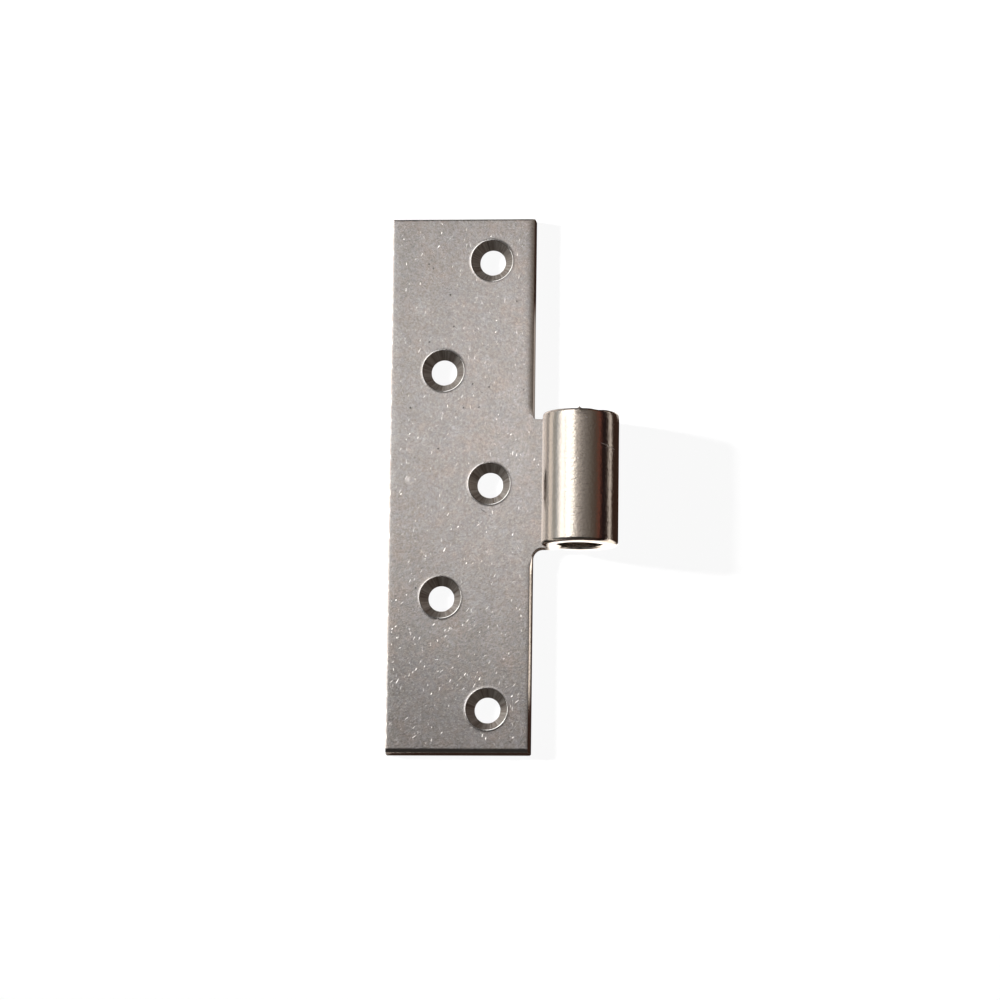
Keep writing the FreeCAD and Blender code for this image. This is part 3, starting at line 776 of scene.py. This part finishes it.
def build_leaf():
    """The leaf as an object at its real size, in the place of the solid."""
    mesh = bpy.data.meshes.new("hinge_leaf_steel")
    bm = leaf_mesh()
    bm.to_mesh(mesh)
    bm.free()
    mesh.transform(Matrix.Scale(MM, 4))
    leaf = bpy.data.objects.new("hinge_leaf_steel", mesh)
    bpy.context.scene.collection.objects.link(leaf)
    mesh.materials.append(steel())
    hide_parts("hinge_leaf")
    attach(leaf, "root")


class NodeTree:
    """Short forms for the nodes that a material or a world is made of."""

    def __init__(self, owner):
        owner.use_nodes = True
        self.nodes, self.links = owner.node_tree.nodes, owner.node_tree.links

    def fill(self, socket, value):
        """Join a socket to another, or give it a plain value."""
        if isinstance(value, bpy.types.NodeSocket):
            self.links.new(value, socket)
        else:
            socket.default_value = value

    def math(self, operation, first, second=0, third=0, clamp=False):
        node = self.nodes.new("ShaderNodeMath")
        node.operation = operation
        node.use_clamp = clamp
        for socket, value in zip(node.inputs, (first, second, third)):
            self.fill(socket, value)
        return node.outputs[0]

    def times(self, first, second):
        return self.math("MULTIPLY", first, second)

    def mix(self, share, first, second):
        """A number that goes from first to second."""
        node = self.nodes.new("ShaderNodeMix")
        self.fill(node.inputs["Factor"], share)
        self.fill(node.inputs["A"], first)
        self.fill(node.inputs["B"], second)
        return node.outputs[0]

    def mix_colour(self, share, first, second, blend="MIX"):
        node = self.nodes.new("ShaderNodeMixRGB")
        node.blend_type = blend
        for socket, value in zip(node.inputs, (share, first, second)):
            self.fill(socket, value)
        return node.outputs[0]

    def parts(self, vector):
        """The three numbers of a vector."""
        node = self.nodes.new("ShaderNodeSeparateXYZ")
        self.links.new(vector, node.inputs[0])
        return node.outputs

    def attribute(self, name):
        node = self.nodes.new("ShaderNodeAttribute")
        node.attribute_name = name
        return node.outputs["Fac"]

    def scaled(self, vector, scale):
        node = self.nodes.new("ShaderNodeMapping")
        node.inputs["Scale"].default_value = scale
        self.links.new(vector, node.inputs["Vector"])
        return node.outputs[0]

    def noise(self, vector, scale, detail=2, roughness=0.5):
        node = self.nodes.new("ShaderNodeTexNoise")
        node.inputs["Scale"].default_value = scale
        node.inputs["Detail"].default_value = detail
        node.inputs["Roughness"].default_value = roughness
        self.links.new(vector, node.inputs["Vector"])
        return node.outputs["Fac"]

    def remap(self, value, low, high, to_low=0, to_high=1):
        node = self.nodes.new("ShaderNodeMapRange")
        for socket, given in zip(node.inputs, (value, low, high, to_low, to_high)):
            self.fill(socket, given)
        return node.outputs[0]

    def bump(self, height, distance, strength=1, normal=None):
        node = self.nodes.new("ShaderNodeBump")
        node.inputs["Distance"].default_value = distance
        self.fill(node.inputs["Strength"], strength)
        self.links.new(height, node.inputs["Height"])
        if normal:
            self.links.new(normal, node.inputs["Normal"])
        return node.outputs[0]


# Scratches across the knuckle's front: x, y, length and turn in degrees
KNUCKLE_SCRATCHES = (
    (6.0, 6.15, 3.0, -20), (-0.4, 3.6, 0.8, -60), (0.3, 3.2, 0.7, -62), (6.3, 3.1, 0.35, 70),
    (-0.9, -7.3, 0.7, 35), (-0.6, -8.2, 0.6, 40), (1.9, 11.6, 0.7, -25),
)
SCRATCH_WIDTH = 0.1


def knuckle_scratches(tree, place):
    """How deep in a scratch on the knuckle's front each place lies, from 0 to 1."""
    found = 0
    for x, y, length, turn in KNUCKLE_SCRATCHES:
        node = tree.nodes.new("ShaderNodeMapping")
        node.vector_type = "TEXTURE"
        node.inputs["Location"].default_value = (x, y, 0)
        node.inputs["Rotation"].default_value = (0, 0, math.radians(turn))
        tree.links.new(place, node.inputs["Vector"])
        along, aside, _ = tree.parts(node.outputs[0])
        along, aside = tree.math("ABSOLUTE", along), tree.math("ABSOLUTE", aside)
        mark = tree.remap(along, length / 2, length / 2 - 0.3)
        mark = tree.times(mark, tree.remap(aside, SCRATCH_WIDTH, SCRATCH_WIDTH / 3))
        found = tree.math("MAXIMUM", found, mark)
    height = tree.parts(place)[2]
    return tree.times(found, tree.remap(height, 2, 3))


# The satin front's colours: two that blend, and two over them in patches
SATIN_WARM, SATIN_COLD = (0.43, 0.382, 0.359, 1), (0.385, 0.383, 0.4, 1)
SATIN_PATCH, SATIN_HAZE = (0.387, 0.364, 0.346, 1), (0.468, 0.459, 0.462, 1)
# What these are multiplied by from place to place
TINT_WARM, TINT_COLD = (1.02, 0.99, 0.965, 1), (0.985, 1, 1.035, 1)
# The colours of the other surfaces and of what lies on them
POLISHED, SPECKS = (0.645, 0.57, 0.5, 1), (0.56, 0.54, 0.515, 1)
# The countersinks' colour is darkened well below the steel's own: painted shade in them
CUT, SHADED_TURNED, TURNED_BRIGHT = (0.48, 0.41, 0.36, 1), (0.27, 0.22, 0.185, 1), (0.6, 0.56, 0.52, 1)
WORN, STAINED = (0.8, 0.78, 0.75, 1), (0.05, 0.035, 0.03, 1)


def satin_colour(tree, place):
    """The satin front's colour, with painted shade: darker towards its far side and its ends, lighter
    towards the knuckle.
    """
    blotch = tree.remap(tree.noise(place, 0.17, 4, 0.65), 0.35, 0.65)
    patch = tree.remap(tree.noise(place, 0.34, 3), 0.35, 0.65)
    haze = tree.remap(tree.noise(tree.scaled(place, (1, 0.7, 1)), 0.2, 3, 0.6), 0.5, 0.75)
    colour = tree.mix_colour(blotch, SATIN_WARM, SATIN_COLD)
    colour = tree.mix_colour(tree.times(patch, 0.8), colour, SATIN_PATCH)
    colour = tree.mix_colour(tree.times(haze, 0.7), colour, SATIN_HAZE)
    grain = tree.remap(tree.noise(place, 2.2, 3, 0.7), 0.3, 0.7, 0.76, 1.24)
    mottle = tree.remap(tree.noise(place, 1.1, 3, 0.65), 0.38, 0.62)
    tint = tree.mix_colour(mottle, TINT_WARM, TINT_COLD)
    x, y, _ = tree.parts(place)
    # Painted shade: the colour darkens towards the far side and both ends, and lightens towards the
    # knuckle
    from_far_side = tree.remap(x, -38, -14, 0.8, 1.14)
    painted_shade_lower_end, painted_shade_upper_end = tree.remap(y, -55, -20, 0.9, 1), tree.remap(y, 35, 55, 1, 0.93)
    for factor in (grain, tint, from_far_side, painted_shade_lower_end, painted_shade_upper_end):
        colour = tree.mix_colour(1.0, colour, factor, "MULTIPLY")
    return colour


def steel_relief(tree, place, polish, cut):
    """The grain that is too fine for the mesh."""
    flat = tree.math("SUBTRACT", 1, polish, clamp=True)
    # Each noise's stretch, scale, detail, roughness, depth in metres and strength:
    # round the knuckle, all over it, fine and broad on the flat, and where cut
    reliefs = (
        ((0.12, 2.4, 0.12), 1, 3, 0.6, 0.00003, tree.times(polish, 0.5)),
        ((1.3, 1.9, 1.3), 1, 3, 0.65, 0.00005, polish),
        ((1, 1, 1), 3.2, 3, 0.65, 0.00001, flat),
        ((1, 1, 1), 0.8, 2, 0.5, 0.00001, tree.math("MULTIPLY_ADD", flat, 0.5, 0.2)),
        ((1.2, 1.2, 5), 1.4, 2, 0.5, 0.00006, tree.times(cut, 0.7)),
    )
    normal = None
    for stretch, scale, detail, roughness, depth, strength in reliefs:
        height = tree.noise(tree.scaled(place, stretch), scale, detail, roughness)
        normal = tree.bump(height, depth, strength, normal)
    return normal


def steel():
    """Bare steel: satin on the flat, polished where it is rolled, dull where it is cut."""
    material = bpy.data.materials.new("satin_steel")
    tree = NodeTree(material)
    shader = tree.nodes["Principled BSDF"]
    polish, cut, wear, turned, dull, stain = (tree.attribute(name) for name in RECORDS)
    place = tree.nodes.new("ShaderNodeTexCoord").outputs["Object"]
    # One unit of this is a millimetre
    place = tree.scaled(place, (1 / MM, 1 / MM, 1 / MM))
    speck = tree.remap(tree.noise(place, 2.5, 3, 0.65), 0.3, 0.7)
    scratched = knuckle_scratches(tree, place)
    wear = tree.math("MAXIMUM", wear, scratched)

    colour = tree.mix_colour(polish, satin_colour(tree, place), POLISHED)
    speckled = tree.times(speck, tree.mix(polish, 0.4, 0.3))
    colour = tree.mix_colour(speckled, colour, SPECKS)
    colour = tree.mix_colour(cut, colour, CUT)
    # The countersinks and the holes below them take that darkened colour as painted shade
    colour = tree.mix_colour(turned, colour, SHADED_TURNED)
    bright = tree.times(tree.math("SUBTRACT", 1, dull), turned)
    colour = tree.mix_colour(bright, colour, TURNED_BRIGHT)
    colour = tree.mix_colour(wear, colour, WORN)
    tree.fill(shader.inputs["Base Color"], tree.mix_colour(stain, colour, STAINED))

    drawn = tree.noise(tree.scaled(place, (0.5, 0.03, 0.5)), 1, 3)
    satin = tree.math("MULTIPLY_ADD", drawn, 0.04, tree.math("MULTIPLY_ADD", speck, 0.08, 0.14))
    polished = tree.math("MULTIPLY_ADD", speck, 0.05, 0.14)
    roughness = tree.mix(cut, tree.mix(polish, satin, polished), 0.5)
    roughness = tree.mix(wear, roughness, tree.mix(scratched, 0.18, 0.55))
    tree.fill(shader.inputs["Roughness"], roughness)
    tree.fill(shader.inputs["Metallic"], 1.0)
    tree.fill(shader.inputs["Normal"], steel_relief(tree, place, polish, cut))
    grooves = tree.nodes.new("ShaderNodeTangent")
    grooves.direction_type = "UV_MAP"
    grooves.uv_map = "grooves"
    tree.fill(shader.inputs["Tangent"], grooves.outputs[0])
    tree.fill(shader.inputs["Anisotropic"], tree.times(turned, 0.9))
    return material


# Camera, as worked out from the photograph's outline and holes
CAMERA_PLACE = Vector((0.09355, -0.18615, 1.18153))
CAMERA_YAW, CAMERA_PITCH, CAMERA_ROLL = 5.304, 8.720, 0.709
CAMERA_LENS = 212.8


def add_camera():
    data = bpy.data.cameras.new("camera")
    data.sensor_width = 36
    data.lens = CAMERA_LENS
    data.clip_start, data.clip_end = 0.01, 20
    camera = bpy.data.objects.new("camera", data)
    yaw = Matrix.Rotation(math.radians(CAMERA_YAW), 4, "Y")
    pitch = Matrix.Rotation(math.radians(CAMERA_PITCH), 4, "X")
    roll = Matrix.Rotation(math.radians(CAMERA_ROLL), 4, "Z")
    camera.matrix_world = Matrix.Translation(CAMERA_PLACE) @ yaw @ pitch @ roll
    bpy.context.scene.collection.objects.link(camera)
    bpy.context.scene.camera = camera


# The floor's size in metres, its colour, and how much of it the camera sees as
# plain white instead
FLOOR_SIZE, FLOOR_COLOUR, FULL_WHITE, CAMERA_SHARE = 6, (0.9, 0.9, 0.9, 1), (1, 1, 1, 1), 0.94
# Patches of painted light on the table, which glow only in the steel's reflections: left, right, lower
# and upper edge in millimetres, how bright, and how far its edges fade to each side
PAINTED_LIGHT_PATCHES = (
    (-700, -41, -150, 200, 1.0, 2.5),
    (-4, 80, -43, -17, 1.7, 2.5),
    (3, 13, 15, 19, 1.2, 1.5),
    (38, 83, -30, 60, 0.78, 2.5),
    (-13, -3, 12, 36, 0.45, 2.5),
    (-7, 9, -17.5, -12, 1.9, 0.4),
)
# How bright the painted shade over the rest of the table is in the steel, its colour, the painted
# light's colour, and how bright the painted light has to be to take that colour whole
PAINTED_TABLE_SHADE, PAINTED_SHADE_COLOUR, PAINTED_LIGHT_COLOUR, PAINTED_FULL_LIGHT = 0.045, (1, 0.55, 0.4, 1), (1, 0.94, 0.88, 1), 0.3


def painted_table_light(tree):
    """How bright the table's painted light and shade are in the steel at each place."""
    x, y, _ = tree.parts(tree.nodes.new("ShaderNodeNewGeometry").outputs["Position"])
    total = PAINTED_TABLE_SHADE
    for left, right, lower, upper, brightness, blur in PAINTED_LIGHT_PATCHES:
        patch = brightness
        for place, first, last in ((x, left, right), (y, lower, upper)):
            rise = tree.remap(place, (first - blur) * MM, (first + blur) * MM)
            fall = tree.remap(place, (last - blur) * MM, (last + blur) * MM, 1, 0)
            patch = tree.times(patch, tree.times(rise, fall))
        total = tree.math("ADD", total, patch)
    return total


def add_floor():
    """The white table, which glows with painted patches of light and shade in the steel's reflections.
    """
    bpy.ops.mesh.primitive_plane_add(size=FLOOR_SIZE, location=(0, 0, BACK * MM))
    floor = bpy.context.object
    floor.name = "floor"
    material = bpy.data.materials.new("floor")
    tree = NodeTree(material)
    tree.nodes.clear()
    output = tree.nodes.new("ShaderNodeOutputMaterial")
    diffuse = tree.nodes.new("ShaderNodeBsdfDiffuse")
    diffuse.inputs["Color"].default_value = FLOOR_COLOUR
    glow = tree.nodes.new("ShaderNodeEmission")
    mix = tree.nodes.new("ShaderNodeMixShader")
    path = tree.nodes.new("ShaderNodeLightPath").outputs
    mirrored = tree.math("ADD", path["Is Glossy Ray"], path["Is Transmission Ray"], clamp=True)
    painted_light = painted_table_light(tree)
    # In the steel's reflections the table glows with this painted light and shade instead of being lit
    # by the lamps
    tree.fill(glow.inputs["Strength"], tree.mix(mirrored, 1, painted_light))
    tint = tree.mix_colour(tree.remap(painted_light, PAINTED_TABLE_SHADE, PAINTED_FULL_LIGHT), PAINTED_SHADE_COLOUR, PAINTED_LIGHT_COLOUR)
    tree.fill(glow.inputs["Color"], tree.mix_colour(mirrored, FULL_WHITE, tint))
    tree.fill(mix.inputs[0], tree.math("MULTIPLY_ADD", path["Is Camera Ray"], CAMERA_SHARE, mirrored))
    tree.fill(mix.inputs[1], diffuse.outputs[0])
    tree.fill(mix.inputs[2], glow.outputs[0])
    tree.fill(output.inputs["Surface"], mix.outputs[0])
    floor.data.materials.append(material)
    floor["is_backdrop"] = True


# What the steel mirrors, from the left round overhead to the right: the angle
# from straight up, in degrees, and the colour there
ROOM = (
    (-90, 0.95), (-87.5, 0.85), (-84, (0.36, 0.36, 0.33)), (-79, (0.36, 0.37, 0.35)),
    (-75, (0.41, 0.43, 0.43)), (-71, (0.48, 0.5, 0.52)), (-67, (0.64, 0.68, 0.72)),
    (-63, (0.85, 0.88, 0.9)), (-59, 0.3), (-14, (0.13, 0.12, 0.115)), (29, (0.13, 0.12, 0.115)),
    (31, (0.214, 0.195, 0.18)), (35, (0.172, 0.155, 0.14)), (41, (0.142, 0.12, 0.105)),
    (48, (0.113, 0.09, 0.076)), (54, (0.1, 0.072, 0.058)), (58, (0.115, 0.07, 0.05)),
    (62, (0.22, 0.08, 0.058)), (65.5, (0.2, 0.07, 0.052)), (68.5, (0.06, 0.032, 0.027)),
    (72, (0.022, 0.014, 0.013)), (90, (0.02, 0.013, 0.014)),
)
# How much of that is left at each angle lengthwise, from the lower end up
ROOM_ENDS = ((-90, 0.3), (-12, 0.3), (0, 1), (40, 1), (90, 0.6))

# The bright ceiling beside the soft boxes, in the same two ways, as shares of
# its brightest part
CEILING = (
    (-16, (1.0, 0.98, 0.95)), (-12, (0.89, 0.87, 0.84)), (-9, (0.75, 0.73, 0.7)),
    (-5, (0.62, 0.6, 0.58)), (0, (0.48, 0.465, 0.45)), (5, (0.333, 0.32, 0.31)),
    (11, (0.232, 0.222, 0.214)), (17, (0.158, 0.15, 0.144)), (23, (0.113, 0.106, 0.1)),
    (30, (0.062, 0.058, 0.054)),
)
CEILING_ENDS = (
    (-4, 0.05), (3, 0.12), (5.5, 0.38), (7, 0.72), (8.2, 0.96),
    (9.5, 1.0), (10.5, 0.95), (12, 0.74), (15, 0.5), (20, 0.4),
)
CEILING_RADIANCE, CEILING_HEIGHT = 1.85, 0.8

# The soft boxes: the angles between which each hangs, those between which it
# stretches lengthwise, and how bright it looks
SOFT_BOXES = (
    (-62, -56.5, -3, 30, 1.05),
    (-56.5, -52, -3, 30, 1.5),
    (-52, -41.7, -3, 30, 2.1),
    (-37.6, -25, -3, 30, 2.4),
    (-25, -13, 3, 30, 2.1),
)
BOX_DISTANCE, BOX_COLOUR = 2.0, (1, 0.99, 0.97)
WINDOW_PLACE, WINDOW_SIZE, WINDOW_RADIANCE = (-0.84, 1.24, 1.32), 1.2, 2
# The low lamp that throws the shadow, and the one over the table's left part
SHADOW_PLACE, SHADOW_AIM, SHADOW_SIZE = (-1.07, 0.2, 0.53), (0.09, 0.06, 0), 0.12
SHADOW_SPREAD, SHADOW_RADIANCE = math.radians(24), 60
TABLE_PLACE, TABLE_WIDTH, TABLE_LENGTH = (-0.42, 0.08, 0.3), 0.45, 0.5
TABLE_SPREAD, TABLE_RADIANCE = math.radians(60), 3


def ramp_between(tree, value, stops):
    """A ramp of colours or numbers over a range of angles."""
    first, last = stops[0][0], stops[-1][0]
    share = tree.remap(value, math.radians(first), math.radians(last))
    node = tree.nodes.new("ShaderNodeValToRGB")
    while len(node.color_ramp.elements) < len(stops):
        node.color_ramp.elements.new(0.5)
    for element, (degrees, given) in zip(node.color_ramp.elements, stops):
        element.position = (degrees - first) / (last - first)
        element.color = (*given, 1) if isinstance(given, tuple) else (given, given, given, 1)
    tree.fill(node.inputs[0], share)
    return node.outputs[0]


def light_from(tree, place, across, along):
    """The ramp across, dimmed by the ramp along, at a place seen from the leaf."""
    x, y, z = tree.parts(place)
    beside = tree.math("ARCTAN2", x, z)
    squared = tree.math("MULTIPLY_ADD", x, x, tree.times(z, z))
    level = tree.math("SQRT", squared)
    lengthwise = tree.math("ARCTAN2", y, level)
    across, along = ramp_between(tree, beside, across), ramp_between(tree, lengthwise, along)
    return tree.mix_colour(1.0, across, along, "MULTIPLY")


def add_world():
    """The room, which only the steel sees."""
    world = bpy.data.worlds.new("world")
    bpy.context.scene.world = world
    tree = NodeTree(world)
    direction = tree.nodes.new("ShaderNodeTexCoord").outputs["Generated"]
    colour = light_from(tree, direction, ROOM, ROOM_ENDS)
    tree.fill(tree.nodes["Background"].inputs["Color"], colour)
    world.cycles_visibility.diffuse = False


def add_lamp(name, place, turn, width, length, radiance, colour=(1, 1, 1)):
    """A rectangular lamp, turned to shine along its own -Z.

    radiance is how bright it looks, where white is 1.
    """
    data = bpy.data.lights.new(name, "AREA")
    data.shape = "RECTANGLE"
    data.size, data.size_y = width, length
    data.color = colour
    data.energy = radiance * math.pi * width * length
    lamp = bpy.data.objects.new(name, data)
    lamp.matrix_world = Matrix.Translation(place) @ turn
    lamp.visible_camera = False
    bpy.context.scene.collection.objects.link(lamp)
    return lamp


def towards(place, aim):
    """The turn of a lamp at place that shines at aim."""
    return (Vector(place) - Vector(aim)).to_track_quat("Z", "Y").to_matrix().to_4x4()


def add_soft_box(name, first, last, lower_end, upper_end, radiance):
    """A soft box on the left, between two angles from straight up and two lengthwise."""
    middle = math.radians((first + last) / 2)
    width = 2 * BOX_DISTANCE * math.tan(math.radians(last - first) / 2)
    lower, upper = (BOX_DISTANCE * math.tan(math.radians(end)) for end in (lower_end, upper_end))
    place = Vector((math.sin(middle), 0, math.cos(middle))) * BOX_DISTANCE
    place.y = (lower + upper) / 2
    turn = Matrix.Rotation(middle, 4, "Y")
    box = add_lamp(name, place, turn, width, upper - lower, radiance, BOX_COLOUR)
    box.visible_diffuse = False


def add_window():
    """A window beyond the upper left, which lights the countersinks' lower right."""
    turn = towards(WINDOW_PLACE, (0, 0, 0))
    lamp = add_lamp("window", WINDOW_PLACE, turn, WINDOW_SIZE, WINDOW_SIZE, WINDOW_RADIANCE)
    lamp.visible_diffuse = False


def add_ceiling():
    """A lamp with its brightness spread over it, which the satin front mirrors."""
    left, right = (CEILING_HEIGHT * math.tan(math.radians(CEILING[k][0])) for k in (0, -1))
    lower, upper = (CEILING_HEIGHT * math.tan(math.radians(CEILING_ENDS[k][0])) for k in (0, -1))
    place = Vector(((left + right) / 2, (lower + upper) / 2, CEILING_HEIGHT))
    lamp = add_lamp("ceiling", place, Matrix(), right - left, upper - lower, CEILING_RADIANCE)
    lamp.visible_diffuse = False
    tree = NodeTree(lamp.data)
    here = tree.nodes.new("ShaderNodeNewGeometry").outputs["Position"]
    tree.fill(tree.nodes["Emission"].inputs["Color"], light_from(tree, here, CEILING, CEILING_ENDS))


def add_floor_lamps():
    """What lights the table, and throws the leaf's shadow to its right."""
    turn = towards(SHADOW_PLACE, SHADOW_AIM)
    low = add_lamp("shadow", SHADOW_PLACE, turn, SHADOW_SIZE, SHADOW_SIZE, SHADOW_RADIANCE)
    low.data.spread = SHADOW_SPREAD
    near = add_lamp("table_left", TABLE_PLACE, Matrix(), TABLE_WIDTH, TABLE_LENGTH, TABLE_RADIANCE)
    near.data.spread = TABLE_SPREAD
    for lamp in (low, near):
        lamp.visible_glossy = False


add_camera()
add_floor()
add_world()
for number, soft_box in enumerate(SOFT_BOXES):
    add_soft_box(f"soft_box_{number}", *soft_box)
add_window()
add_ceiling()
add_floor_lamps()
build_leaf()
bpy.context.scene.view_settings.view_transform = "Standard"

boxes = {"cad": cad_box, "visual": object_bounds()}
{k: [list(c) for c in box] for k, box in boxes.items()}
